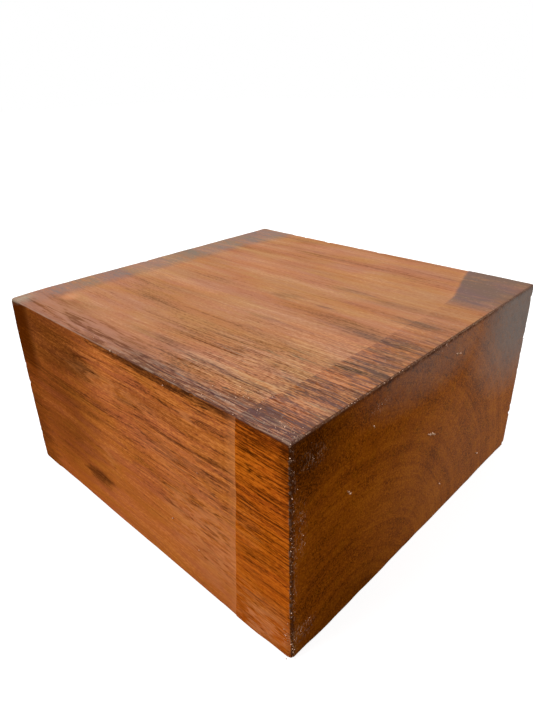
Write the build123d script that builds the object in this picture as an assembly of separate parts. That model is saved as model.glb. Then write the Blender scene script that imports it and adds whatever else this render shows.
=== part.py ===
from build123d import *
import os

# A bowl-turning blank: one squared block of dense red-brown hardwood, waxed at both ends.
#
# Millimetres. X runs along the grain, Y across it and Z up, from the middle of the face that the
# block lies on. The block is sawn square and its arrises are eased. Each end-grain end was dipped
# in molten wax, which stands a fraction of a millimetre proud of the wood, back to a dip line that
# runs round the four long faces. Block and wax coat are one piece.

# The sawn block
LENGTH = 152.0
WIDTH = 149.0
THICKNESS = 78.0

# Eased arrises: the four upright corners, then the outlines of the two broad faces
UPRIGHT_ARRIS = 0.9
FACE_ARRIS = 0.5

# The wax coat, proud of the wood on every face that it covers
WAX_FILM = 0.2

# How far the wax reaches in from an end, at even steps across the width from front to back,
# along the top and the bottom of the block
RIGHT_DIP_TOP = (18.9, 17.2, 16.6, 17.5, 28.0)
RIGHT_DIP_BOTTOM = (23.7, 22.0, 21.0, 22.0, 25.0)
LEFT_DIP_TOP = (12.8, 13.6, 15.8, 17.4, 22.5)
LEFT_DIP_BOTTOM = (13.5, 14.0, 15.0, 16.0, 18.0)

# The corner that was knocked off, measured along each of its three edges
BRUISE = 2.4

# How far the cutting solids reach past the block, so that they cut clean through it
OVERCUT = 5.0

coated_length = LENGTH + 2 * WAX_FILM
coated_width = WIDTH + 2 * WAX_FILM
coated_thickness = THICKNESS + 2 * WAX_FILM


def eased_block(length, width, thickness, growth):
    """A box whose arrises are rounded, with every radius grown by the coat that covers it."""
    block = Box(length, width, thickness)
    block = fillet(block.edges().filter_by(Axis.Z), UPRIGHT_ARRIS + growth)
    outlines = block.faces().filter_by(Axis.Z).edges()
    return fillet(outlines, FACE_ARRIS + growth)


def dip_outline(depths, height, inset):
    """The plan of the wax at one height above the middle of the block, counter-clockwise from the
    front of the dip line, which the inset moves further in from the end."""
    step = WIDTH / (len(depths) - 1)
    line = [(LENGTH / 2 - depth - inset, i * step - WIDTH / 2) for i, depth in enumerate(depths)]
    front, back = -WIDTH / 2 - OVERCUT, WIDTH / 2 + OVERCUT
    outside = LENGTH / 2 + OVERCUT
    round_the_end = Polyline(
        line[0], (line[0][0], front), (outside, front), (outside, back), (line[-1][0], back), line[-1]
    )
    return Pos(0, 0, height) * make_face(round_the_end + Spline(*reversed(line)))


def dip(top_depths, bottom_depths):
    """The wax at the right-hand end: the coated block, as far in as the dip line, which leans
    straight from its bottom to its top. From the foot of each broad face's arris on, the edge of the
    wax slopes back at 45 degrees, so that nothing overhangs the bare face and a plate can lie on it."""
    foot = THICKNESS / 2 - FACE_ARRIS
    outside = THICKNESS / 2 + OVERCUT
    outlines = [
        dip_outline(bottom_depths, -outside, -OVERCUT),
        dip_outline(bottom_depths, -foot, FACE_ARRIS),
        dip_outline(top_depths, foot, FACE_ARRIS),
        dip_outline(top_depths, outside, -OVERCUT),
    ]
    return coated & loft(outlines, ruled=True)


sawn = eased_block(LENGTH, WIDTH, THICKNESS, 0)
coated = eased_block(coated_length, coated_width, coated_thickness, WAX_FILM)
right_wax = dip(RIGHT_DIP_TOP, RIGHT_DIP_BOTTOM)
left_wax = mirror(dip(LEFT_DIP_TOP, LEFT_DIP_BOTTOM), about=Plane.YZ)
blank = sawn + right_wax + left_wax

# The bruise takes the lower back corner at the right-hand end off along a flat
corner = Pos(coated_length / 2, coated_width / 2, -coated_thickness / 2)
knocked_off = Polyline((0, 0), (-BRUISE, 0), (0, -BRUISE), close=True)
wedge = loft([make_face(knocked_off), Vertex(0, 0, BRUISE)])
blank = blank - corner * wedge

os.makedirs("parts", exist_ok=True)
export_step(Pos(0, 0, coated_thickness / 2) * blank, "parts/turning_blank.step")
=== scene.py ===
import random

import bmesh
import bpy
from bpy.props import FloatProperty, FloatVectorProperty, IntProperty, PointerProperty
from mathutils import Matrix, Vector, noise


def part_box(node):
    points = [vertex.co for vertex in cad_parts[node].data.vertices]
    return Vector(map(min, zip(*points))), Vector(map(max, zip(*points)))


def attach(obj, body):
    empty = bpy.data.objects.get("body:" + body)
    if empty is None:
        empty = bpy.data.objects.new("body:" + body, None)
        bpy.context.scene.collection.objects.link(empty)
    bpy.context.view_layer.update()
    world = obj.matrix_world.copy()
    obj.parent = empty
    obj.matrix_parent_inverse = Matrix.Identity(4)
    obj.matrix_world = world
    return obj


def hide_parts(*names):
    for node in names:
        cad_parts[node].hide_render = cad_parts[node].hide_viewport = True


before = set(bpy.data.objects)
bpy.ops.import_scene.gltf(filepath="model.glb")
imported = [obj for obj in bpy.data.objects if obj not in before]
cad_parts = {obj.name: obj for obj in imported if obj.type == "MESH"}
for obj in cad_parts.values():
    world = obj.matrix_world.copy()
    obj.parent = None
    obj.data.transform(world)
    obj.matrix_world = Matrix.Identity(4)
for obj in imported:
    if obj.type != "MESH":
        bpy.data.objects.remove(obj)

bl_info = {
    "name": "Waxed Bowl Blank",
    "version": (1, 0, 0),
    "blender": (4, 5, 0),
    "location": "3D View > Sidebar > Bowl Blank",
    "description": "Dresses a squared hardwood bowl blank: worn arrises, figured wood and waxed ends",
    "category": "Object",
}

# The block and its finishes are worked out in millimetres, in the frame's axes: X along the grain,
# Y across it, towards the back, and Z up from the floor. The settings and the stage are in metres.
MM = 0.001
BLANK = "turning_blank"
BODY = "root"
BOX_LOW, BOX_HIGH = (Vector(corner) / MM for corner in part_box(BLANK))
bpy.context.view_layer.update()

# How far the wax reaches in from each end, at even steps across the width from front to back,
# along the top and the bottom of the block
RIGHT_DIP_TOP = (18.9, 17.2, 16.6, 17.5, 28.0)
RIGHT_DIP_BOTTOM = (23.7, 22.0, 21.0, 22.0, 25.0)
LEFT_DIP_TOP = (12.8, 13.6, 15.8, 17.4, 22.5)
LEFT_DIP_BOTTOM = (13.5, 14.0, 15.0, 16.0, 18.0)

# How far the edge of the wax wanders off those depths, how fast it does so, per millimetre, and
# where in the noise it starts, which keeps the two ends from being alike
RIPPLE_REACH = 0.35
RIPPLE_RATE = 0.11
RIPPLE_START = 7.0

# How far inside its edge the wax begins, and how far inside it is at its full thickness. The edge
# is sharp at the right-hand end, and has run out thin at the left-hand one
RIGHT_FILM_EDGE = (-0.15, 0.25)
LEFT_FILM_EDGE = (-1.5, 1.5)

# The width of the flat strip along the edge of the wax
LIP = 0.3

# The mesh tells the finish how far from that edge each vertex is, up to this distance
DIP_RANGE = 30.0

# How far from an arris its nicks end, and how far from it they are at their full depth
NICK_BAND = (2.2, 0.2)

# Corners that are blunter than the rest, by their side of the block along each axis, and how much
# that adds to the arris radius there. It fades out over the distance that follows
BLUNT_CORNERS = (
    ((1, -1, -1), 1.3),
    ((-1, -1, -1), 0.4),
    ((-1, -1, 1), 0.9),
    ((1, 1, 1), 0.4),
)
BLUNT_REACH = 18.0


def smooth(low, high, value):
    """0 below low, 1 above high, and an S-curve between them. low may be the larger one."""
    t = min(max((value - low) / (high - low), 0.0), 1.0)
    return t * t * (3 - 2 * t)


def along(depths, t):
    """A smooth curve through evenly spaced depths, at t from 0 to 1."""
    place = min(max(t, 0.0), 1.0) * (len(depths) - 1)
    i = min(int(place), len(depths) - 2)
    t = place - i
    before, a, b, after = (depths[min(max(i + k, 0), len(depths) - 1)] for k in (-1, 0, 1, 2))
    rise_a, rise_b = (b - before) / 2, (after - a) / 2
    return (
        a * (2 * t**3 - 3 * t**2 + 1)
        + rise_a * (t**3 - 2 * t**2 + t)
        + b * (3 * t**2 - 2 * t**3)
        + rise_b * (t**3 - t**2)
    )


def bumps(place, rate, height=1.0, start=(0.0, 0.0, 0.0)):
    """Smooth noise of about that height above and below 0, which changes rate times a millimetre."""
    return height * noise.noise(place * rate + Vector(start))


def clamped(place, low, high, inset=0.0):
    """The place, or the nearest one to it in the box from low to high, shrunk by the inset."""
    return Vector(min(max(place[axis], low[axis] + inset), high[axis] - inset) for axis in range(3))


def inside_wax(place):
    """How far a place lies inside the wax, along the grain. Negative on bare wood."""
    across = (place.y - BOX_LOW.y) / (BOX_HIGH.y - BOX_LOW.y)
    up = (place.z - BOX_LOW.z) / (BOX_HIGH.z - BOX_LOW.z)
    dips = []
    for side, top, bottom in ((1, RIGHT_DIP_TOP, RIGHT_DIP_BOTTOM), (-1, LEFT_DIP_TOP, LEFT_DIP_BOTTOM)):
        depth = along(bottom, across) * (1 - up) + along(top, across) * up
        around = Vector((side * RIPPLE_START, place.y * RIPPLE_RATE, place.z * RIPPLE_RATE))
        ripple = RIPPLE_REACH * noise.noise(around)
        dips.append(place.x * side - (BOX_HIGH.x - depth - ripple))
    return max(dips)


class Signal:
    """A socket of a shader tree, so that shader maths reads as a plain expression."""

    def __init__(self, finish, socket):
        self.finish = finish
        self.socket = socket

    def __add__(self, other):
        return self.finish.maths("ADD", self, other)

    def __sub__(self, other):
        return self.finish.maths("SUBTRACT", self, other)

    def __rsub__(self, other):
        return self.finish.maths("SUBTRACT", other, self)

    def __mul__(self, other):
        return self.finish.maths("MULTIPLY", self, other)

    def __truediv__(self, other):
        return self.finish.maths("DIVIDE", self, other)

    def __rtruediv__(self, other):
        return self.finish.maths("DIVIDE", other, self)

    __radd__ = __add__
    __rmul__ = __mul__


class Finish:
    """The shader tree of a material, or of the world."""

    def __init__(self, owner):
        self.owner = owner
        owner.use_nodes = True
        self.tree = owner.node_tree
        self.tree.nodes.clear()

    def node(self, kind, settings=None, sockets=None, output=0):
        """A node of one type: its settings are set first, then its sockets take values or links."""
        made = self.tree.nodes.new(kind)
        for name, value in (settings or {}).items():
            setattr(made, name, value)
        for name, value in (sockets or {}).items():
            if isinstance(value, Signal):
                self.tree.links.new(value.socket, made.inputs[name])
            else:
                made.inputs[name].default_value = value
        return Signal(self, made.outputs[output]) if made.outputs else None

    def maths(self, operation, first, second=0.0):
        """One step of arithmetic on values."""
        return self.node("ShaderNodeMath", {"operation": operation}, {0: first, 1: second})

    def least(self, first, second):
        """The smaller of two values."""
        return self.maths("MINIMUM", first, second)

    def most(self, first, second):
        """The larger of two values."""
        return self.maths("MAXIMUM", first, second)

    def size_of(self, value):
        """The value without its sign."""
        return self.maths("ABSOLUTE", value)

    def step(self, value, low, high, start=0.0, end=1.0):
        """start below low and end above high, with an S-curve between them."""
        sockets = {"Value": value, "From Min": low, "From Max": high, "To Min": start, "To Max": end}
        if low > high:
            sockets.update({"From Min": high, "From Max": low, "To Min": end, "To Max": start})
        return self.node("ShaderNodeMapRange", {"interpolation_type": "SMOOTHSTEP"}, sockets)

    def vector(self, operation, first, second=(0.0, 0.0, 0.0)):
        """One step of arithmetic on vectors."""
        output = "Value" if operation == "LENGTH" else "Vector"
        return self.node("ShaderNodeVectorMath", {"operation": operation}, {0: first, 1: second}, output)

    def part(self, place, axis):
        """A place's distance along one axis."""
        return self.node("ShaderNodeSeparateXYZ", None, {0: place}, axis)

    def object_place(self):
        """The place on the piece, in millimetres."""
        metres = self.node("ShaderNodeTexCoord", None, None, "Object")
        return self.node("ShaderNodeVectorMath", {"operation": "SCALE"}, {"Vector": metres, "Scale": 1 / MM})

    def moved(self, place, sway, reach):
        """The place, moved by a sway that is stretched along each axis by the reach."""
        return self.vector("ADD", place, self.vector("MULTIPLY", sway, reach))

    def distance(self, place, middle, stretch):
        """How far a place is from a middle, with each axis stretched."""
        offset = self.vector("SUBTRACT", place, middle)
        return self.vector("LENGTH", self.vector("MULTIPLY", offset, stretch))

    def mix(self, amount, first, second, blend="MIX"):
        """A colour between first and second, or between first and first blended with second."""
        settings = {"data_type": "RGBA", "blend_type": blend, "clamp_factor": True}
        return self.node("ShaderNodeMix", settings, {0: amount, 6: first, 7: second}, 2)

    def patches(self, place, sizes, detail=1.0, roughness=0.5, output="Fac"):
        """Soft noise from 0 to 1, whose patches are about as long as sizes in X, Y and Z."""
        scaled = self.vector("MULTIPLY", place, [1 / size for size in sizes])
        settings = {"noise_dimensions": "3D", "normalize": True}
        sockets = {"Vector": scaled, "Scale": 1.0, "Detail": detail, "Roughness": roughness}
        return self.node("ShaderNodeTexNoise", settings, sockets, output)

    def swell(self, place, sizes, detail=1.0, roughness=0.5):
        """The same noise, above and below 0."""
        return self.patches(place, sizes, detail, roughness) - 0.5

    def sway(self, place, sizes, detail=1.0, roughness=0.5):
        """A vector of three such noises, above and below 0."""
        noises = self.patches(place, sizes, detail, roughness, "Color")
        return self.vector("SUBTRACT", noises, (0.5, 0.5, 0.5))

    def blot(self, place, middle, radii, soft):
        """1 in the middle of an ellipsoid and 0 outside it. The soft part of its radii fades."""
        reach = self.distance(place, middle, [1 / radius for radius in radii])
        return self.step(reach, 1.0, 1.0 - soft)

    def seen(self):
        """1 for what the camera sees, straight or in a gloss or through glass, and 0 for light."""
        camera, gloss, glass = (
            self.node("ShaderNodeLightPath", None, None, f"Is {kind} Ray")
            for kind in ("Camera", "Glossy", "Transmission")
        )
        return self.most(camera, self.most(gloss, glass))

    def surface(self, sockets):
        """Ends a material's tree in a Principled shader, and returns the material."""
        shader = self.node("ShaderNodeBsdfPrincipled", None, sockets)
        self.node("ShaderNodeOutputMaterial", None, {"Surface": shader})
        return self.owner


WHITE = (1.0, 1.0, 1.0, 1.0)


def tint(colour):
    """A colour setting with its alpha."""
    return (*colour, 1.0)


def between(amount, first, second):
    """A colour between two colour settings, with its alpha."""
    return (*(a + (b - a) * amount for a, b in zip(first, second)), 1.0)


def colour_setting(name, description, default):
    """A colour for the sidebar."""
    return FloatVectorProperty(
        name=name, description=description, subtype="COLOR", min=0.0, max=1.0, default=default
    )


def length_setting(name, description, millimetres):
    """A length for the sidebar."""
    return FloatProperty(
        name=name, description=description, subtype="DISTANCE", unit="LENGTH", default=millimetres * MM
    )


class WoodSettings(bpy.types.PropertyGroup):
    """The wood's colours and the sizes of its figure."""

    light: colour_setting("Light Wood", "The pale lines of the bare wood", (0.560, 0.180, 0.042))
    middle: colour_setting("Wood", "The bare wood's usual colour", (0.395, 0.108, 0.020))
    pink: colour_setting("Pink Wood", "The bare wood's colour where it is pinker", (0.372, 0.100, 0.030))
    golden: colour_setting(
        "Golden Wood", "The bare wood's colour where it is yellower", (0.398, 0.121, 0.022)
    )
    dry: colour_setting(
        "Dry Wood", "The palest wood, beside the wax and where it was rubbed", (0.560, 0.200, 0.070)
    )
    dark: colour_setting("Dark Lines", "The dark lines of the bare wood", (0.110, 0.030, 0.008))
    stain: colour_setting("Stains", "The stains in the wood", (0.075, 0.019, 0.004))
    pore: colour_setting(
        "Pores", "The pores, thin dark lines and dashes along the grain, and the dirt", (0.040, 0.011, 0.004)
    )
    wetting: colour_setting("Wetting", "What the wax multiplies the wood's colour by", (0.90, 0.67, 0.20))
    # The end grain is darker than the rest. Its darkening towards the front and lightening towards the back
    # are painted shade
    soaking: colour_setting(
        "Soaking", "What the end grain multiplies the waxed colour by", (0.470, 0.520, 0.350)
    )
    back_soaking: colour_setting(
        "Thin Soaking", "The same at the back, where less wax went in", (0.81, 1.0, 0.90)
    )
    # Painted sheen: the pale grey that a grazing reflection off the wax shows, on the end grain and on the
    # left band of wax on top
    painted_sheen: colour_setting("Bloom", "Milky wax on the end grain", (0.195, 0.199, 0.190))
    # Greyed wood under the wax on top: partly the wood's own colour and partly painted sheen
    greyed: colour_setting("Greyed Wood", "The greyed wood under the wax on top", (0.178, 0.110, 0.093))
    # Painted sheen: the pale haze over the whole top. The same colour is used for the worn bare corner
    dust_and_sheen: colour_setting("Powder", "The fine pale dust over the whole top", (0.445, 0.400, 0.290))
    haze: colour_setting(
        "Haze", "The pink haze on top, beside the left half of the front arris", (0.350, 0.172, 0.124)
    )
    dust: colour_setting("Dust", "The grey dust and specks along the arrises", (0.400, 0.280, 0.215))
    rim: colour_setting("Rubbed Arris", "The pale line where an arris is rubbed", (0.440, 0.270, 0.185))
    grime: colour_setting("Grime", "The dark streaks between the dust", (0.092, 0.042, 0.041))
    # How much painted sheen lies over the top
    sheen_amount: FloatProperty(
        name="Dusting",
        description="How much of the powder lies over the top",
        subtype="FACTOR",
        min=0.0,
        max=1.0,
        default=0.24,
    )
    pore_width: length_setting("Pore Width", "How wide a pore is across the grain", 0.38)
    pore_length: length_setting("Pore Length", "How long a pore is along the grain", 7.0)


class BlockSettings(bpy.types.PropertyGroup):
    """The block's sizes."""

    grid: length_setting("Grid", "The spacing of the mesh over the block's faces", 1.3)
    arris: length_setting("Arris", "The least radius of the eased arrises", 0.3)
    wear: length_setting("Wear", "How much larger the arris radius is where it is worn most", 0.5)
    nick: length_setting("Nicks", "How deep the nicks in the arrises are", 0.45)
    film: length_setting("Wax Film", "How thick the wax is on the dipped ends", 0.2)
    bruise: length_setting("Bruise", "How much of each edge the knocked-off corner takes", 2.4)


class CrumbSettings(bpy.types.PropertyGroup):
    """The wax crumbs."""

    colour: colour_setting("Wax", "The colour of the loose wax", (0.86, 0.55, 0.39))
    dull: colour_setting("Dull Wax", "The colour of the crumbs that hold dirt", (0.30, 0.16, 0.08))
    seed: IntProperty(
        name="Seed",
        description="Starts the scatter of the crumbs",
        default=11,
    )


class StageSettings(bpy.types.PropertyGroup):
    """The floor, the lamps and the camera."""

    floor: colour_setting("Floor", "The floor's colour", (0.45, 0.45, 0.45))
    glow: FloatProperty(
        name="Floor Glow",
        description="How much whiter than its own colour the floor shows",
        default=0.78,
    )
    ambient: FloatProperty(
        name="Ambient",
        description="The strength of the light from all round",
        default=0.55,
    )
    lens: FloatProperty(
        name="Lens",
        description="The camera's focal length in millimetres",
        subtype="DISTANCE_CAMERA",
        unit="CAMERA",
        default=28.193,
    )


def runs_along(edge, axis):
    """Whether an edge runs along an axis."""
    run = edge.verts[1].co - edge.verts[0].co
    return abs(run[axis]) > 0.95 * run.length


def bevel(shape, edges, width, segments):
    """Bevels some edges of a shape."""
    bmesh.ops.bevel(
        shape,
        geom=edges,
        offset=width,
        offset_type="OFFSET",
        segments=segments,
        profile=0.5,
        affect="EDGES",
        material=-1,
    )


def gridded_box(low, high, arris, grid):
    """A box from low to high with bevelled arrises, cut into squares of about the grid's spacing."""
    shape = bmesh.new()
    bmesh.ops.create_cube(shape, size=1.0)
    bmesh.ops.scale(shape, vec=high - low, verts=shape.verts)
    bmesh.ops.translate(shape, vec=(low + high) / 2, verts=shape.verts)
    bevel(shape, shape.edges[:], arris, 3)
    for axis in range(3):
        length = high[axis] - low[axis]
        rails = [e for e in shape.edges if e.calc_length() > length / 2 and runs_along(e, axis)]
        bmesh.ops.subdivide_edges(shape, edges=rails, cuts=round(length / grid) - 1, use_grid_fill=True)
    return shape


def worn(place, low, high, least, wear):
    """The place moved onto a rounded box whose arris radius changes along the arrises."""
    stretches = bumps(place, 0.035, 0.75, (5.0, 1.0, 3.0))
    spots = bumps(place, 0.16, 0.35, (2.0, 8.0, 4.0))
    radius = least + wear * smooth(-0.15, 0.75, stretches + spots)
    for corner, blunting in BLUNT_CORNERS:
        near = Vector((high[axis] if corner[axis] > 0 else low[axis]) for axis in range(3))
        radius += blunting * smooth(BLUNT_REACH, 1.0, (place - near).length)
    inner = clamped(place, low, high, radius)
    out = place - inner
    if out.length > radius:
        return inner + out.normalized() * radius
    return place


def chipping(place):
    """How deep the nicks are at a place, from 0 to 1: in short stretches, and none near the floor."""
    stretches = smooth(0.12, 0.6, bumps(place, 0.33))
    nicks = smooth(-0.1, 0.5, bumps(place, 0.9))
    return stretches * nicks * smooth(0.5, 8.0, place.z)


def wax_thickness(place, inside, film):
    """How thick the wax is at a place, which lies so far inside its edge. It is a little uneven."""
    edge = RIGHT_FILM_EDGE if place.x > 0 else LEFT_FILM_EDGE
    return film * smooth(*edge, inside) * (1.0 + bumps(place, 0.09, 0.3))


class BLANK_OT_block(bpy.types.Operator):
    """Make the block: its worn arrises, its wax film and its wood."""

    bl_idname = "bowl_blank.block"
    bl_label = "Block"

    def execute(self, context):
        sizes = context.scene.blank_block
        film, grid = sizes.film / MM, sizes.grid / MM
        skin = Vector((film,) * 3)
        low, high = BOX_LOW + skin, BOX_HIGH - skin
        shape = gridded_box(low, high, sizes.arris / MM, grid)
        self.follow_dip_line(shape, grid)
        self.shape_surface(shape, low, high, sizes)
        bmesh.ops.scale(shape, vec=(MM, MM, MM), verts=shape.verts)
        finish_piece(shape, "waxed_block", wood_finish(context.scene.blank_wood), BLANK)
        return {"FINISHED"}

    def follow_dip_line(self, shape, grid):
        """Moves the nearest row of vertices onto the edge of the wax, and gives that edge a lip."""
        moved = set()
        for vertex in shape.verts:
            place = vertex.co
            ahead = inside_wax(place)
            if abs(ahead) < grid / 2 and BOX_HIGH.x - abs(place.x) > 2 * grid:
                place.x -= ahead if place.x > 0 else -ahead
                moved.add(vertex)
        edge = [e for e in shape.edges if all(v in moved for v in e.verts) and not runs_along(e, 0)]
        bevel(shape, edge, LIP, 1)

    def shape_surface(self, shape, low, high, sizes):
        """Wears and nicks the arrises, lays the wax on and knocks the corner off. The attribute dip
        keeps how far each vertex lies inside the wax."""
        film, nick, bruise = sizes.film / MM, sizes.nick / MM, sizes.bruise / MM
        arris, wear = sizes.arris / MM, sizes.wear / MM
        dip = shape.verts.layers.float.new("dip")
        outwards = Vector((1, 1, -1)).normalized()
        corner = Vector((high.x + film, high.y + film, low.z - film))
        break_line = corner - outwards * bruise / 3**0.5
        shape.normal_update()
        for vertex in shape.verts:
            place, normal = vertex.co.copy(), vertex.normal.copy()
            inside = inside_wax(place)
            vertex[dip] = max(min(inside, DIP_RANGE), -DIP_RANGE)
            gaps = sorted(min(place[axis] - low[axis], high[axis] - place[axis]) for axis in range(3))
            near_arris = smooth(*NICK_BAND, gaps[1])
            place = worn(place, low, high, arris, wear)
            wave = bumps(place, 0.03, 0.05) + bumps(place, 0.12, 0.02)
            coat = wax_thickness(place, inside, film)
            place += normal * (wave + coat - nick * near_arris * chipping(place))
            beyond = (place - break_line).dot(outwards) + bumps(place, 0.5, 0.25)
            if beyond > 0:
                place -= outwards * beyond
            vertex.co = place
            vertex.co.z = max(place.z, BOX_LOW.z)
        shape.normal_update()


def finish_piece(shape, name, material, stands_for=None):
    """Turns a bmesh into a smooth piece that rides on the block's body."""
    mesh = bpy.data.meshes.new(name)
    for face in shape.faces:
        face.smooth = True
    shape.to_mesh(mesh)
    shape.free()
    piece = bpy.data.objects.new(name, mesh)
    bpy.context.scene.collection.objects.link(piece)
    mesh.materials.append(material)
    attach(piece, BODY)
    if stands_for:
        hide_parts(stands_for)


# The faces that the photograph shows, each by the axis that it looks along and its place on it
FRONT = (1, BOX_LOW.y)
TOP = (2, BOX_HIGH.z)
RIGHT_END = (0, BOX_HIGH.x)

# Marks by face: the middle of each in X and Z on the front, X and Y on top, and Y and Z on the end,
# half its length and half its height, and how strong it is
FRONT_STAINS = (
    (-25.5, 14.6, 15.5, 5.4, 0.86),
    (-27.0, 64.8, 17.0, 9.0, 0.98),
    (14.0, 65.0, 36.0, 5.0, 0.30),
    (-52.0, 67.0, 54.0, 24.0, 0.79),
    (-52.0, 38.0, 46.0, 44.0, 0.51),
    # Painted shade: the front grows darker towards its left end
    (-78.0, 30.0, 26.0, 70.0, 0.66),
    (-48.0, 38.5, 36.0, 1.8, 0.50),
    (-2.0, 57.0, 5.0, 2.0, 0.45),
    (46.0, 57.6, 44.0, 1.5, 0.60),
    (20.0, 77.0, 70.0, 2.6, 0.60),
    (66.0, 75.0, 13.0, 4.5, 0.50),
    (66.0, 34.0, 14.0, 1.6, 0.45),
    (-20.0, 45.0, 34.0, 1.4, 0.40),
    (30.0, 51.0, 30.0, 1.2, 0.35),
    (14.3, 63.4, 2.8, 1.4, 0.75),
    (38.8, 63.2, 3.0, 1.6, 0.55),
    (50.3, 38.4, 2.6, 1.4, 0.65),
    (41.5, 36.2, 4.0, 2.2, 0.45),
    (62.8, 69.7, 3.6, 1.3, 0.85),
    (61.0, 63.5, 2.6, 1.2, 0.85),
    (65.7, 63.4, 2.2, 1.2, 0.75),
)
TOP_STAINS = (
    (68.0, -33.0, 14.0, 10.0, 1.00),
    (67.0, -19.5, 12.0, 5.0, 0.80),
    (64.0, -52.0, 14.0, 8.0, 0.66),
    (62.0, -69.0, 18.0, 6.5, 0.60),
    (63.0, 7.0, 17.0, 5.5, 0.55),
    (52.0, 18.0, 26.0, 4.0, 0.42),
    (56.0, -11.5, 28.0, 4.5, 0.56),
    (24.0, 20.0, 15.0, 3.0, 0.35),
    (9.0, 0.0, 8.0, 6.0, 0.30),
    (28.0, -0.5, 6.0, 1.6, 0.45),
    (24.0, -59.5, 56.0, 2.2, 0.60),
    (-28.0, -22.5, 36.0, 2.2, 0.35),
    (-50.0, -61.0, 36.0, 7.0, 0.45),
    (-26.0, -68.0, 46.0, 7.0, 0.50),
    (6.0, -58.5, 30.0, 3.6, 0.50),
    (20.0, -70.5, 60.0, 3.0, 0.50),
    (-36.0, 66.5, 12.0, 4.0, 0.35),
    (-3.0, -42.0, 1.8, 0.7, 0.70),
    (30.0, -22.0, 34.0, 2.0, 0.30),
)
END_STAINS = (
    (-74.0, 78.0, 34.0, 26.0, 0.70),
    (-50.0, 4.0, 40.0, 12.0, 0.35),
    (64.0, 72.0, 44.0, 26.0, 0.45),
    (16.0, 69.6, 1.6, 1.1, 0.85),
)
FRONT_SMUDGES = (
    (-13.0, 28.0, 4.0, 11.0, 0.35),
    (45.0, 10.0, 12.0, 10.0, 0.35),
    (42.0, 26.0, 32.0, 26.0, 0.66),
    (30.0, 50.0, 30.0, 14.0, 0.28),
    (36.4, 69.3, 4.0, 2.0, 0.55),
    (66.0, 7.0, 18.0, 15.0, 0.60),
    (-8.0, 62.5, 40.0, 5.0, 0.40),
    (23.0, 22.0, 3.0, 2.0, 0.40),
)
FRONT_RUBBED = (
    (66.0, 6.0, 20.0, 19.0, 1.00),
    (60.0, 44.0, 6.0, 14.0, 0.30),
)
TOP_SMUDGES = (
    (69.5, -36.6, 3.6, 2.4, 0.80),
    (-58.0, -57.5, 6.0, 4.0, 0.70),
)
# Painted sheen on the end grain, strongest at its back top, where the wax's grazing reflection is painted in
# as pale grey
END_SHEEN = (
    (76.0, 72.0, 72.0, 54.0, 0.62),
    (78.0, 26.0, 135.0, 84.0, 0.12),
    (8.0, 80.0, 66.0, 26.0, 0.26),
)
END_WIPED = (
    (-70.5, 50.0, 3.0, 14.0, 0.30),
    (-70.0, 9.0, 8.0, 5.0, 0.45),
    (-66.0, 70.0, 8.0, 5.0, 0.22),
    (-36.0, 71.0, 7.0, 2.5, 0.30),
    (-74.0, 40.0, 2.6, 60.0, 0.30),
    (12.0, 71.0, 5.0, 2.5, 0.30),
)

# How deep a mark goes below its face, and how much of its radii fades out
MARK_DEPTH = 7.0
MARK_SOFTNESS = 0.75

# How far below a face its mask ends, and how far below it the mask is still full
FACE_DEPTH = (0.7, 0.35)

# The pith, the middle of the growth rings. It lies below the block and near its front
PITH = (0.0, -50.0, -22.0)

# What the wood's colour is multiplied by where it is yellower and where it is pinker
YELLOWER = (0.99, 1.01, 0.90, 1.0)
PINKER = (1.01, 0.985, 1.03, 1.0)


def marks_on(f, place, face, marks):
    """The strongest of a face's marks, from 0 to 1."""
    axis, side = face
    strongest = None
    for along_face, across_face, length, height, strength in marks:
        middle, radii = [along_face, across_face], [length, height]
        middle.insert(axis, side)
        radii.insert(axis, MARK_DEPTH)
        mark = f.blot(place, middle, radii, MARK_SOFTNESS) * strength
        strongest = mark if strongest is None else f.most(strongest, mark)
    return strongest


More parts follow.
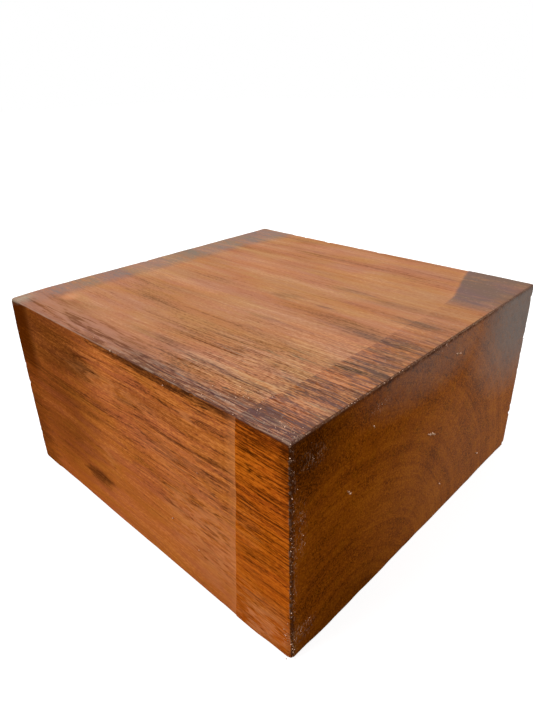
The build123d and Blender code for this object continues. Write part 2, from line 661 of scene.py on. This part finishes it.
class Zones:
    """Where a place on the block lies: its distances from faces in millimetres, masks from 0 to 1,
    and the noises that several layers of the finish share."""

    def __init__(self, f):
        place = f.object_place()
        x, y, z = (f.part(place, axis) for axis in "XYZ")
        self.place, self.x, self.y, self.z = place, x, y, z
        self.to_right, self.to_front, self.to_top = BOX_HIGH.x - x, y - BOX_LOW.y, BOX_HIGH.z - z
        to_end = BOX_HIGH.x - f.size_of(x)
        to_side = BOX_HIGH.y - f.size_of(y)
        to_level = BOX_HIGH.z / 2 - f.size_of(z - BOX_HIGH.z / 2)

        # Of the two faces that meet in an arris, the further one says how far that arris is
        to_upright, to_crosswise = f.most(to_end, to_side), f.most(to_end, to_level)
        self.to_arris = f.least(to_upright, f.least(to_crosswise, f.most(to_side, to_level)))
        distances = (to_end, self.to_right, self.to_front, self.to_top, BOX_HIGH.y - y)
        on_faces = (f.step(distance, *FACE_DEPTH) for distance in distances)
        self.on_end, self.on_right, self.on_front, self.on_top, on_back = on_faces

        # The edge of the wax is sharp at the right end, less so at its back, and soft at the left end
        self.dip = f.node(
            "ShaderNodeAttribute", {"attribute_type": "GEOMETRY", "attribute_name": "dip"}, None, "Fac"
        )
        self.right_half = f.step(x, -10.0, 10.0)
        blur = f.step(y, 0.0, 60.0, 0.12, 1.10)
        sharp, soft = f.step(self.dip / blur, -1.0, 1.0), f.step(self.dip, -4.0, 4.0)
        self.waxed = sharp * self.right_half + soft * (1 - self.right_half)

        # The figure is crisp at the front right corner and softer on the front and the top far from it
        corner = (BOX_HIGH.x, BOX_LOW.y, BOX_HIGH.z)
        far_on_front = f.step(f.distance(place, corner, (0.75, 1.4, 1.25)), 25.0, 115.0)
        far_on_top = f.step(f.distance(place, corner, (1.2, 1.4, 1.25)), 25.0, 115.0)
        faded = f.most(far_on_front * self.on_front * 0.68, far_on_top * self.on_top * 0.78)
        crisp = 1 - f.most(on_back * 0.45, faded)
        crisp = crisp * (1 + self.waxed * 0.35) * (1 - self.on_end * 0.35)
        self.crisp = crisp * (1 + self.on_top * 0.22)

        # Marks are drawn out along the grain, or only wander across it
        pull = f.sway(place, (28.0, 2.2, 2.2), 3.0, 0.6)
        self.drawn = f.moved(place, pull, (30.0, 6.0, 6.0))
        self.wander = f.moved(place, pull, (0.0, 6.0, 6.0))
        self.long_smears = f.patches(self.drawn, (24.0, 1.9, 1.9), 2.0, 0.6)
        self.smears = f.patches(self.drawn, (5.0, 2.0, 4.0), 2.0, 0.6)
        self.dust_lines = f.patches(self.drawn, (9.0, 0.9, 0.9), 2.0, 0.6)


def figure(f, at, wood):
    """The bare wood's colour all through the block, its pores, and its shade, which is above 0 in
    light wood and below it in dark wood."""
    drift = f.sway(at.place, (110.0, 45.0, 45.0), 2.0)
    bent = f.moved(at.place, drift, (0.0, 9.0, 9.0))

    # Growth rings, and the fine arcs that they show on the end grain
    radius = f.distance(bent, PITH, (0.0, 1.0, 1.0))
    shell = f.node("ShaderNodeCombineXYZ", None, {"X": f.part(bent, "X"), "Y": radius})
    rings = f.swell(shell, (150.0, 4.0, 1.0), 3.0, 0.6)
    arcs = f.swell(shell, (150.0, 1.5, 1.0), 2.0, 0.6)

    # Streaks along the grain, from broad to fine
    broad = f.swell(bent, (110.0, 11.0, 8.0), 2.0, 0.5)
    cloud = f.swell(bent, (45.0, 20.0, 20.0), 2.0, 0.5)
    grain = f.swell(bent, (60.0, 1.0, 1.0), 2.0, 0.6)
    fibre = f.swell(bent, (34.0, 0.46, 0.46), 1.0, 0.6)
    tooth = f.swell(bent, (1.6, 0.42, 0.42), 1.0, 0.6)

    # Pores show as long hair lines, broken into lengths, and as short dashes
    contour = f.size_of(f.swell(bent, (60.0, 1.7, 1.7), 1.0, 0.5))
    lengths = f.patches(bent, (19.0, 3.0, 3.0), 2.0, 0.6) + rings * 0.5 + broad * 0.3
    hairs = f.step(contour, 0.034, 0.006) * f.step(lengths, 0.42, 0.58)
    width, length = wood.pore_width / MM, wood.pore_length / MM
    dashes = f.swell(bent, (length, width, width), 1.0, 0.4)
    gather = cloud * 0.25 + rings * 0.35 + broad * 0.25
    pores = f.most(hairs * 0.65, f.step(dashes - gather, 0.175, 0.225))
    pores = pores * f.step(at.crisp, 0.2, 0.9) * (1 - at.on_end * 0.7)

    # Pinker and more golden wood, then light and dark lines
    hue = f.patches(bent, (26.0, 4.5, 4.5), 3.0, 0.6)
    hue = hue + f.swell(bent, (34.0, 13.0, 13.0), 2.0, 0.5) * at.on_top * 0.45
    colour = f.mix(f.step(hue, 0.42, 0.64), tint(wood.middle), tint(wood.pink))
    colour = f.mix(f.step(hue, 0.48, 0.30), colour, tint(wood.golden))
    lines = (grain * 0.75 + fibre * (1.35 - at.on_top * 0.25)) * at.crisp * (1.0 - (broad + rings) * 1.2)
    lines = lines + tooth * (0.25 + at.crisp * 0.75) * (1 - at.on_end * 0.45)
    shade = broad * 0.35 + rings * (0.45 + at.on_end * 0.10) + cloud * (0.30 + at.on_end * 0.20)
    shade = shade + arcs * at.on_end * 0.48 + lines
    bolder = broad * 0.25 + rings * 0.5 + cloud * 0.2 + grain * 0.4
    shade = shade + bolder * at.on_top * (0.3 + at.crisp * 0.7)
    colour = f.mix(f.step(shade, 0.0, 0.32), colour, tint(wood.light))
    colour = f.mix(f.step(shade, -0.02, -0.36, 0.0, 0.78), colour, tint(wood.dark))
    return colour, pores, shade


def stained(f, at, wood, colour, shade):
    """The colour with stains, drawn out along the grain, and how stained the wood is."""
    stain = marks_on(f, at.drawn, FRONT, FRONT_STAINS)
    streaky = f.step(at.long_smears, 0.60, 0.42, 0.45, 1.20)
    stain = f.most(stain, marks_on(f, at.drawn, TOP, TOP_STAINS) * streaky)
    stain = f.most(stain, marks_on(f, at.wander, RIGHT_END, END_STAINS))

    # High up at the left end of the front, the wood is dark under the wax and a little beside it
    left_band = f.step(at.dip, -13.0, 3.5) * at.on_front * f.step(at.x, -40.0, -60.0)
    left_band = left_band * f.step(at.z, 30.0, 60.0)
    stain = f.most(stain * (1 - shade * 1.2), left_band * (1.0 - shade * 0.35))

    # On top the stains are pinker on the left half, and greyer on the right
    left_on_top, right_on_top = at.on_top * f.step(at.x, 10.0, -10.0), at.on_top * f.step(at.x, 0.0, 40.0)
    dye = f.mix(left_on_top * 0.42, tint(wood.stain), tint(wood.pink))
    dye = f.mix(right_on_top * 0.95, dye, tint(wood.grime))
    return f.mix(stain, colour, dye), stain


def paled(f, at, wood, colour):
    """The colour with paler patches: dry wood just outside the wax, and smudges."""
    dry = f.step(at.dip, -5.0, -0.5) * (1 - at.waxed) * f.step(at.x, -20.0, 20.0)
    dry = dry * (0.08 + at.on_front * 0.27)
    pale = f.most(dry, marks_on(f, at.drawn, FRONT, FRONT_SMUDGES) * f.step(at.smears, 0.36, 0.60))
    pale = f.most(pale, marks_on(f, at.wander, TOP, TOP_SMUDGES))
    return f.mix(pale, colour, tint(wood.dry))


def wax_and_shade(f, at, wood, colour):
    """The colour with the wax soaked in, and with painted shade on the left half of the front and at the
    front of the end grain. The waxed wood is darker and more orange.
    """
    # The wax is fainter on top, low at the left end of the front, and where it is rubbed
    faint = at.on_top * f.step(at.y, -55.0, 10.0, 0.30, 0.78) * at.right_half
    faint = f.most(faint, at.on_top * (1 - at.right_half) * 0.62)
    faint = f.most(faint, at.on_front * f.step(at.x, -40.0, -60.0) * f.step(at.z, 62.0, 40.0) * 0.55)
    faint = f.most(faint, marks_on(f, at.drawn, FRONT, FRONT_RUBBED) * f.step(at.smears, 0.30, 0.56))

    # Painted shade: the left half of the front is a little darker all over
    wet = f.most(at.waxed * (1 - faint), at.on_front * f.step(at.x, -5.0, -50.0) * 0.32)
    colour = f.mix(wet, colour, tint(wood.wetting), "MULTIPLY")

    # The end grain soaks up more and is darker. At the right end it is darker at the front and lighter
    # towards the back, which is painted shade
    thin = f.most(f.step(at.y, -62.0, 45.0) * at.right_half, (1 - at.right_half) * 0.40)
    soaking = f.mix(thin, tint(wood.soaking), tint(wood.back_soaking))
    return f.mix(at.on_end, colour, soaking, "MULTIPLY")


def end_sheen_and_flakes(f, at, wood, colour):
    """The colour with painted sheen over the end grain, strongest at its back top, and with pale flakes near
    its arrises.
    """
    # Painted sheen over the end grain, in patches
    painted_sheen = marks_on(f, at.wander, RIGHT_END, END_SHEEN) * at.on_end
    painted_sheen = painted_sheen * f.step(at.smears, 0.25, 0.60, 0.85, 1.12)
    colour = f.mix(painted_sheen, colour, tint(wood.painted_sheen))
    flakes = f.patches(at.place, (0.8, 0.55, 1.3), 2.0, 0.7)
    wiped = marks_on(f, at.place, RIGHT_END, END_WIPED) * at.on_right * f.step(flakes, 0.52, 0.68)
    return f.mix(wiped, colour, tint(wood.rim))


def top_sheen_and_streaks(f, at, wood, colour, shade, stain):
    """The colour over the top: painted sheen all over, the right band of wax greyed, partly by painted
    sheen, and streaked dark, and painted sheen on the left band.
    """
    # Painted sheen: a pale haze over the whole top, less on dark wood, stains, the wax towards the front and
    # the front strip
    sheen_patches = f.patches(at.drawn, (34.0, 8.0, 8.0), 3.0, 0.6)
    dust_and_sheen = at.on_top * wood.sheen_amount * f.step(sheen_patches, 0.34, 0.62, 0.85, 1.15)
    dust_and_sheen = dust_and_sheen * (1 - at.waxed * f.step(at.y, 10.0, -40.0) * 0.25)
    dust_and_sheen = dust_and_sheen * f.step(at.to_front, 3.0, 14.0, 0.65, 1.0)
    colour = f.mix(dust_and_sheen * (1 + shade * 1.8) * (1 - stain * 0.5), colour, tint(wood.dust_and_sheen))

    # The right band of wax is greyed at the back, partly the wood's own colour and partly painted sheen, and
    # streaked from the middle to the front
    across = f.part(at.drawn, "Y")
    veiled = f.step(at.x, 30.0, 40.0) * at.waxed * at.on_top * (1 - shade * 1.5)
    grey = veiled * f.step(across, 27.0, 43.0) * f.step(at.smears, 0.25, 0.55, 0.75, 1.0)
    grey = grey * f.step(at.to_right, -2.0, 9.0, 0.55, 1.08)
    colour = f.mix(grey, colour, tint(wood.greyed))
    streaks = veiled * f.step(across, 26.0, -24.0) * f.step(at.dust_lines, 0.56, 0.42, 0.0, 0.56)
    colour = f.mix(streaks, colour, between(0.45, wood.greyed, wood.grime))

    # Painted sheen: the left band of wax is paler and greyer
    left_band_sheen = f.step(at.x, -30.0, -40.0) * at.waxed * at.on_top * (0.50 - shade)
    left_band_sheen = left_band_sheen * f.step(at.smears, 0.30, 0.55, 0.60, 1.20)
    return f.mix(left_band_sheen, colour, between(0.4, wood.painted_sheen, wood.greyed))


def varied(f, at, wood, colour):
    """The colour with broad changes of tone, and with the haze along the front top arris."""
    tone = f.patches(at.drawn, (42.0, 15.0, 15.0), 3.0, 0.6)
    shift = f.mix(f.step(tone, 0.40, 0.60), YELLOWER, PINKER)
    colour = f.mix(1 - at.on_end, colour, shift, "MULTIPLY")

    # A pink haze and reddish streaks along the left half of that arris
    hazy = at.on_top * f.step(at.to_front, 17.0, 7.0) * f.step(at.x, 32.0, -12.0)
    hazy = hazy * f.step(at.x, -78.0, -66.0, 0.4, 1.0)
    colour = f.mix(hazy * f.step(at.long_smears, 0.40, 0.58, 0.25, 0.62), colour, tint(wood.haze))
    return f.mix(hazy * f.step(at.long_smears, 0.48, 0.36) * 0.62, colour, tint(wood.dark))


def soiled(f, at, wood, colour):
    """The colour with dirt, wear and dust along the arrises."""
    broken = f.patches(at.place, (4.0, 1.4, 1.4), 3.0, 0.65)
    dirt = at.on_right * f.step(at.to_front, 2.2, 0.5) * 0.85
    dirt = f.most(dirt, at.on_right * f.step(at.to_top, 2.2, 0.5) * f.step(at.y, 10.0, 60.0, 0.80, 0.35))
    dirt = f.most(dirt, at.on_front * f.step(at.to_top, 3.0, 0.4) * f.step(at.x, -60.0, 30.0, 0.25, 0.55))
    colour = f.mix(dirt * f.step(broken, 0.34, 0.56), colour, tint(wood.pore))

    # The top arrises are dark at the right, and rubbed pale in places, as the front right arris is
    topmost = f.step(at.to_top, 1.2, 0.5)
    darkened = f.step(at.to_arris, 0.8, 0.3) * topmost * f.step(at.x, -20.0, 40.0)
    colour = f.mix(darkened * 0.45, colour, tint(wood.dark))
    rim = f.step(at.to_arris, 0.42, 0.20) * f.step(at.to_top, 2.5, 1.0) * f.step(broken, 0.47, 0.62)
    left_rim = f.step(at.to_arris, 0.9, 0.4) * at.on_front * topmost * f.step(at.x, 10.0, -20.0)
    rim = f.most(rim, left_rim * 0.7)
    rim = f.most(rim, at.on_front * f.step(at.to_right, 0.9, 0.5) * f.step(broken, 0.50, 0.60) * 0.35)

    # The top corner at the front left is worn bare
    bare = f.blot(at.wander, (-75.0, -72.0, 78.4), (12.0, 8.0, 2.5), 0.8)
    bare = bare * f.step(broken, 0.36, 0.60, 0.30, 1.0)
    colour = f.mix(bare * 0.55, colour, tint(wood.dust_and_sheen))

    # Dust and grime in a strip along the front top arris, and specks there and over the wax on top
    strip = at.on_top * f.step(at.to_front, 9.5, 3.0) * f.step(at.x, -76.0, 20.0, 0.25, 1.0)
    colour = f.mix(strip * f.step(at.dust_lines, 0.54, 0.42) * 0.48, colour, tint(wood.grime))
    colour = f.mix(rim * 0.50, colour, tint(wood.rim))
    dust = strip * f.step(at.dust_lines, 0.46, 0.64) * f.step(at.x, -20.0, 40.0, 0.45, 1.0)
    speckle = f.patches(at.place, (1.1, 1.1, 1.1), 2.0, 0.6)
    specks = f.step(speckle, 0.64, 0.70) * f.most(dust, at.on_top * at.waxed * 0.35)
    return f.mix(f.most(dust * 0.50, specks * 0.85), colour, tint(wood.dust))


def wood_finish(wood):
    """The wood, worked out through the whole block so that its figure runs on round the arrises."""
    f = Finish(bpy.data.materials.new("figured_hardwood"))
    at = Zones(f)
    colour, pores, shade = figure(f, at, wood)
    colour, stain = stained(f, at, wood, colour, shade)
    colour = f.mix(pores * 0.80, colour, tint(wood.pore))
    colour = paled(f, at, wood, colour)
    colour = wax_and_shade(f, at, wood, colour)
    colour = end_sheen_and_flakes(f, at, wood, colour)
    colour = top_sheen_and_streaks(f, at, wood, colour, shade, stain)
    colour = varied(f, at, wood, colour)
    colour = soiled(f, at, wood, colour)

    # Waxed wood is smoother, and pores and dark lines lie deeper than light ones
    roughness = 0.60 - at.waxed * 0.15 + f.swell(at.place, (9.0, 9.0, 9.0), 3.0, 0.6) * 0.2
    height = shade * 0.6 - pores
    bump = f.node("ShaderNodeBump", None, {"Strength": 0.35, "Distance": 0.12 * MM, "Height": height})
    return f.surface(
        {
            "Base Color": colour,
            "Roughness": roughness,
            "Normal": bump,
            "Specular IOR Level": 0.0,
        }
    )


def wax_finish(crumbs):
    """The loose wax: pale, dull and a little uneven."""
    f = Finish(bpy.data.materials.new("loose_wax"))
    blush = f.patches(f.object_place(), (0.9, 0.9, 0.9), 2.0)
    colour = f.mix(f.step(blush, 0.42, 0.56), tint(crumbs.colour), tint(crumbs.dull))
    roughness = 0.45 + (blush - 0.5) * 0.3
    return f.surface({"Base Color": colour, "Roughness": roughness, "Specular IOR Level": 0.0})


# Lone flecks of wax: where each lies, and its size
FLECKS = (
    ((-1.0, -74.7, 78.2), 0.9),
    ((26.5, -74.7, 75.8), 0.6),
    ((39.0, -74.7, 50.4), 0.5),
    ((23.0, -74.7, 23.2), 0.6),
    ((36.0, -74.7, 17.4), 0.5),
    ((76.2, -39.0, 66.0), 1.0),
    ((76.2, -38.4, 65.2), 0.7),
    ((76.2, -48.8, 47.8), 1.0),
    ((76.2, -49.8, 48.9), 0.9),
    ((76.2, -50.4, 49.6), 0.6),
    ((76.2, -3.9, 45.3), 1.0),
    ((76.2, -3.0, 44.9), 1.3),
    ((76.2, -2.4, 44.6), 1.2),
    ((76.2, -1.6, 44.3), 1.4),
    ((76.2, -0.8, 43.9), 1.3),
    ((76.2, 0.0, 43.5), 1.2),
    ((76.2, 0.8, 43.0), 0.8),
    ((76.2, 9.8, 70.8), 0.8),
    ((76.2, 11.0, 70.6), 1.1),
    ((76.2, 12.2, 70.3), 1.0),
    ((76.2, 13.0, 69.9), 0.6),
    ((76.2, 10.4, 15.4), 0.9),
    ((76.2, 11.4, 14.8), 0.7),
    ((76.2, 42.4, 12.2), 1.0),
    ((76.2, 43.6, 11.6), 1.1),
)

# Clusters of crumbs: the middle of each, how far it spreads along each axis, and their number
CLUSTERS = (
    ((76.2, -74.0, 68.0), (0.0, 0.8, 16.0), 34),
    ((76.2, -73.8, 47.0), (0.0, 1.0, 10.0), 46),
    ((76.2, -70.4, 50.5), (0.0, 1.0, 5.0), 22),
    ((76.2, -70.0, 43.0), (0.0, 1.0, 4.0), 18),
    ((76.2, -73.8, 28.0), (0.0, 1.2, 14.0), 34),
    ((76.2, -70.0, 11.0), (0.0, 5.0, 2.6), 46),
    ((76.2, -73.5, 6.0), (0.0, 2.0, 5.0), 40),
    ((76.2, -67.0, 70.0), (0.0, 6.0, 4.0), 26),
    ((76.2, -36.0, 71.0), (0.0, 5.0, 1.6), 16),
    ((76.2, -2.0, 77.0), (0.0, 5.0, 1.2), 14),
    ((76.0, -40.0, 78.4), (0.7, 26.0, 0.2), 40),
    ((76.0, 20.0, 78.4), (0.7, 40.0, 0.2), 30),
    ((72.0, -71.0, 78.4), (6.0, 4.0, 0.0), 46),
    ((58.0, -67.0, 78.4), (3.0, 3.0, 0.0), 26),
    ((44.0, -71.0, 78.4), (12.0, 3.0, 0.0), 30),
    ((57.0, -60.6, 78.4), (1.6, 1.2, 0.0), 16),
    ((52.0, -64.5, 78.4), (7.0, 4.0, 0.0), 44),
    ((66.0, -68.0, 78.4), (6.0, 3.0, 0.0), 30),
    ((74.5, -74.7, 8.0), (1.6, 0.0, 9.0), 26),
    ((-76.2, -73.6, 40.0), (0.0, 1.2, 36.0), 30),
    ((-76.2, -66.0, 8.0), (0.0, 8.0, 4.0), 22),
    ((-76.2, 40.0, 60.0), (0.0, 14.0, 8.0), 9),
    ((-76.2, 73.6, 34.0), (0.0, 1.2, 30.0), 24),
    ((76.2, 73.8, 30.0), (0.0, 1.0, 24.0), 16),
)

# The crumbs along the front top arris: their number, how far they spread from the right-hand
# corner along the arris, and how far back from it
ARRIS_CRUMBS = 60
ARRIS_SPREAD = 34
ARRIS_STRAY = 2.2

# How far a crumb may be turned, in radians, and how far its corners may be off, for its size
CRUMB_TURN = 6.28
CRUMB_DENT = 0.12


def crumb_size(draw, least, spread):
    """The size of a crumb. Most are near the least one."""
    return least + spread * draw.random() ** 3


class BLANK_OT_crumbs(bpy.types.Operator):
    """Make the crumbs of wax that cling to the arrises and the faces."""

    bl_idname = "bowl_blank.crumbs"
    bl_label = "Wax Crumbs"

    def execute(self, context):
        crumbs = context.scene.blank_crumbs
        draw = random.Random(crumbs.seed)
        shape = bmesh.new()
        for place, size in self.scatter(draw):
            self.add_crumb(shape, place, size, draw)
        bmesh.ops.scale(shape, vec=(MM, MM, MM), verts=shape.verts)
        finish_piece(shape, "wax_crumbs", wax_finish(crumbs))
        return {"FINISHED"}

    def scatter(self, draw):
        """Places and sizes of the crumbs: lone flecks, clusters, and those along the front top arris."""
        found = [(Vector(place), size) for place, size in FLECKS]
        for middle, spread, count in CLUSTERS:
            for _ in range(count):
                offset = Vector([draw.gauss(0, reach / 2) for reach in spread])
                size = crumb_size(draw, 0.14, 0.36)
                found.append((clamped(Vector(middle) + offset, BOX_LOW, BOX_HIGH), size))
        for _ in range(ARRIS_CRUMBS):
            x = BOX_HIGH.x - abs(draw.gauss(0, ARRIS_SPREAD))
            y = BOX_LOW.y + abs(draw.gauss(0, ARRIS_STRAY))
            found.append((Vector((x, y, BOX_HIGH.z)), crumb_size(draw, 0.15, 0.3)))
        return found

    def add_crumb(self, shape, place, size, draw):
        """One crumb: a ball that is turned, flattened and dented at random, and stays off the floor."""
        angle, axis = draw.uniform(0, CRUMB_TURN), Vector([draw.uniform(-1, 1) for _ in range(3)])
        turn = Matrix.Rotation(angle, 4, axis)
        flatten = Matrix.Diagonal((size, size * draw.uniform(0.5, 1), size * draw.uniform(0.4, 0.7), 1))
        matrix = Matrix.Translation(place) @ turn @ flatten
        ball = bmesh.ops.create_icosphere(shape, subdivisions=1, radius=0.5, matrix=matrix)
        for vertex in ball["verts"]:
            vertex.co += Vector([draw.uniform(-CRUMB_DENT, CRUMB_DENT) * size for _ in range(3)])
            vertex.co.z = max(vertex.co.z, BOX_LOW.z)


# The stage, in metres. Each lamp has a name, a place, a width, a height and its power in watts
LAMPS = (
    ("key_softbox", (-0.55, -0.95, 0.85), 0.9, 0.9, 13.5),
    ("back_softbox", (-0.75, 0.85, 0.60), 1.2, 0.8, 10.5),
    ("fill_softbox", (0.55, 0.60, 0.30), 0.5, 0.4, 3.0),
)
LAMP_AIM = (0.0, 0.0, 0.04)

# Half the floor's width, and how far it lies below the block, so that no two faces coincide
FLOOR_REACH = 4.0
FLOOR_DROP = 0.0001

# The camera stands where the photograph was taken from
CAMERA_PLACE = (0.14790, -0.15486, 0.15494)
CAMERA_AIM = (-0.01498, 0.01115, 0.04)
CAMERA_ROLL = -0.02557
CAMERA_SENSOR = 36.0
CAMERA_RANGE = (0.01, 20.0)


def facing(place, aim):
    """The turn of a lamp or a camera that looks from its place at the aim."""
    return (Vector(aim) - Vector(place)).to_track_quat("-Z", "Y")


class BLANK_OT_stage(bpy.types.Operator):
    """Make the floor, the soft light and the camera."""

    bl_idname = "bowl_blank.stage"
    bl_label = "Stage"

    def execute(self, context):
        stage = context.scene.blank_stage
        self.floor(context.scene, stage)
        self.world(context.scene, stage)
        for lamp in LAMPS:
            self.softbox(context.scene, *lamp)
        self.camera(context.scene, stage)
        return {"FINISHED"}

    def floor(self, scene, stage):
        """A pale floor that glows a little where it is seen, and still shows the block's shadow."""
        shape = bmesh.new()
        bmesh.ops.create_grid(shape, x_segments=1, y_segments=1, size=FLOOR_REACH)
        mesh = bpy.data.meshes.new("floor")
        shape.to_mesh(mesh)
        shape.free()
        floor = bpy.data.objects.new("floor", mesh)
        scene.collection.objects.link(floor)
        mesh.transform(Matrix.Translation((0, 0, -FLOOR_DROP)))
        f = Finish(bpy.data.materials.new("pale_floor"))
        finish = f.surface(
            {
                "Base Color": tint(stage.floor),
                "Roughness": 0.9,
                "Specular IOR Level": 0.0,
                "Emission Color": WHITE,
                "Emission Strength": f.seen() * stage.glow,
            }
        )
        mesh.materials.append(finish)

    def world(self, scene, stage):
        """Soft light from all round, which shows as white."""
        scene.world = bpy.data.worlds.new("white_studio")
        f = Finish(scene.world)
        strength = stage.ambient + f.seen() * (1 - stage.ambient)
        sky = f.node("ShaderNodeBackground", None, {"Color": WHITE, "Strength": strength})
        f.node("ShaderNodeOutputWorld", None, {"Surface": sky})
        scene.view_settings.view_transform = "Standard"

    def softbox(self, scene, name, place, width, height, power):
        """A rectangular lamp that points at the middle of the block."""
        lamp = bpy.data.lights.new(name, "AREA")
        lamp.shape = "RECTANGLE"
        lamp.size, lamp.size_y = width, height
        lamp.energy = power
        holder = bpy.data.objects.new(name, lamp)
        scene.collection.objects.link(holder)
        holder.location = place
        holder.rotation_euler = facing(place, LAMP_AIM).to_euler()

    def camera(self, scene, stage):
        """The camera, at the photograph's viewing angle."""
        data = bpy.data.cameras.new("camera")
        data.lens = stage.lens
        data.sensor_width = CAMERA_SENSOR
        data.clip_start, data.clip_end = CAMERA_RANGE
        camera = bpy.data.objects.new("camera", data)
        scene.collection.objects.link(camera)
        turn = facing(CAMERA_PLACE, CAMERA_AIM).to_matrix().to_4x4()
        roll = Matrix.Rotation(CAMERA_ROLL, 4, "Z")
        camera.matrix_world = Matrix.Translation(CAMERA_PLACE) @ turn @ roll
        scene.camera = camera


class BLANK_PT_sidebar(bpy.types.Panel):
    """The blank's settings and operators."""

    bl_idname = "BLANK_PT_sidebar"
    bl_label = "Bowl Blank"
    bl_space_type = "VIEW_3D"
    bl_region_type = "UI"
    bl_category = "Bowl Blank"

    def draw(self, context):
        for settings, operator in STEPS:
            box = self.layout.box()
            for group in settings:
                held = getattr(context.scene, group)
                for name in held.bl_rna.properties.keys():
                    if name not in ("rna_type", "name"):
                        box.prop(held, name)
            box.operator(operator)


# The settings by their names on the scene, then the steps: which settings each shows in the
# sidebar, and its operator
GROUPS = {
    "blank_wood": WoodSettings,
    "blank_block": BlockSettings,
    "blank_crumbs": CrumbSettings,
    "blank_stage": StageSettings,
}
STEPS = (
    (("blank_wood", "blank_block"), BLANK_OT_block.bl_idname),
    (("blank_crumbs",), BLANK_OT_crumbs.bl_idname),
    (("blank_stage",), BLANK_OT_stage.bl_idname),
)
CLASSES = (*GROUPS.values(), BLANK_OT_block, BLANK_OT_crumbs, BLANK_OT_stage, BLANK_PT_sidebar)


def register():
    for cls in CLASSES:
        bpy.utils.register_class(cls)
    for name, group in GROUPS.items():
        setattr(bpy.types.Scene, name, PointerProperty(type=group))


def unregister():
    for name in GROUPS:
        delattr(bpy.types.Scene, name)
    for cls in reversed(CLASSES):
        bpy.utils.unregister_class(cls)


def main():
    """Makes the pieces and the stage."""
    register()
    bpy.ops.bowl_blank.block()
    bpy.ops.bowl_blank.crumbs()
    bpy.ops.bowl_blank.stage()


if __name__ == "__main__":
    main()
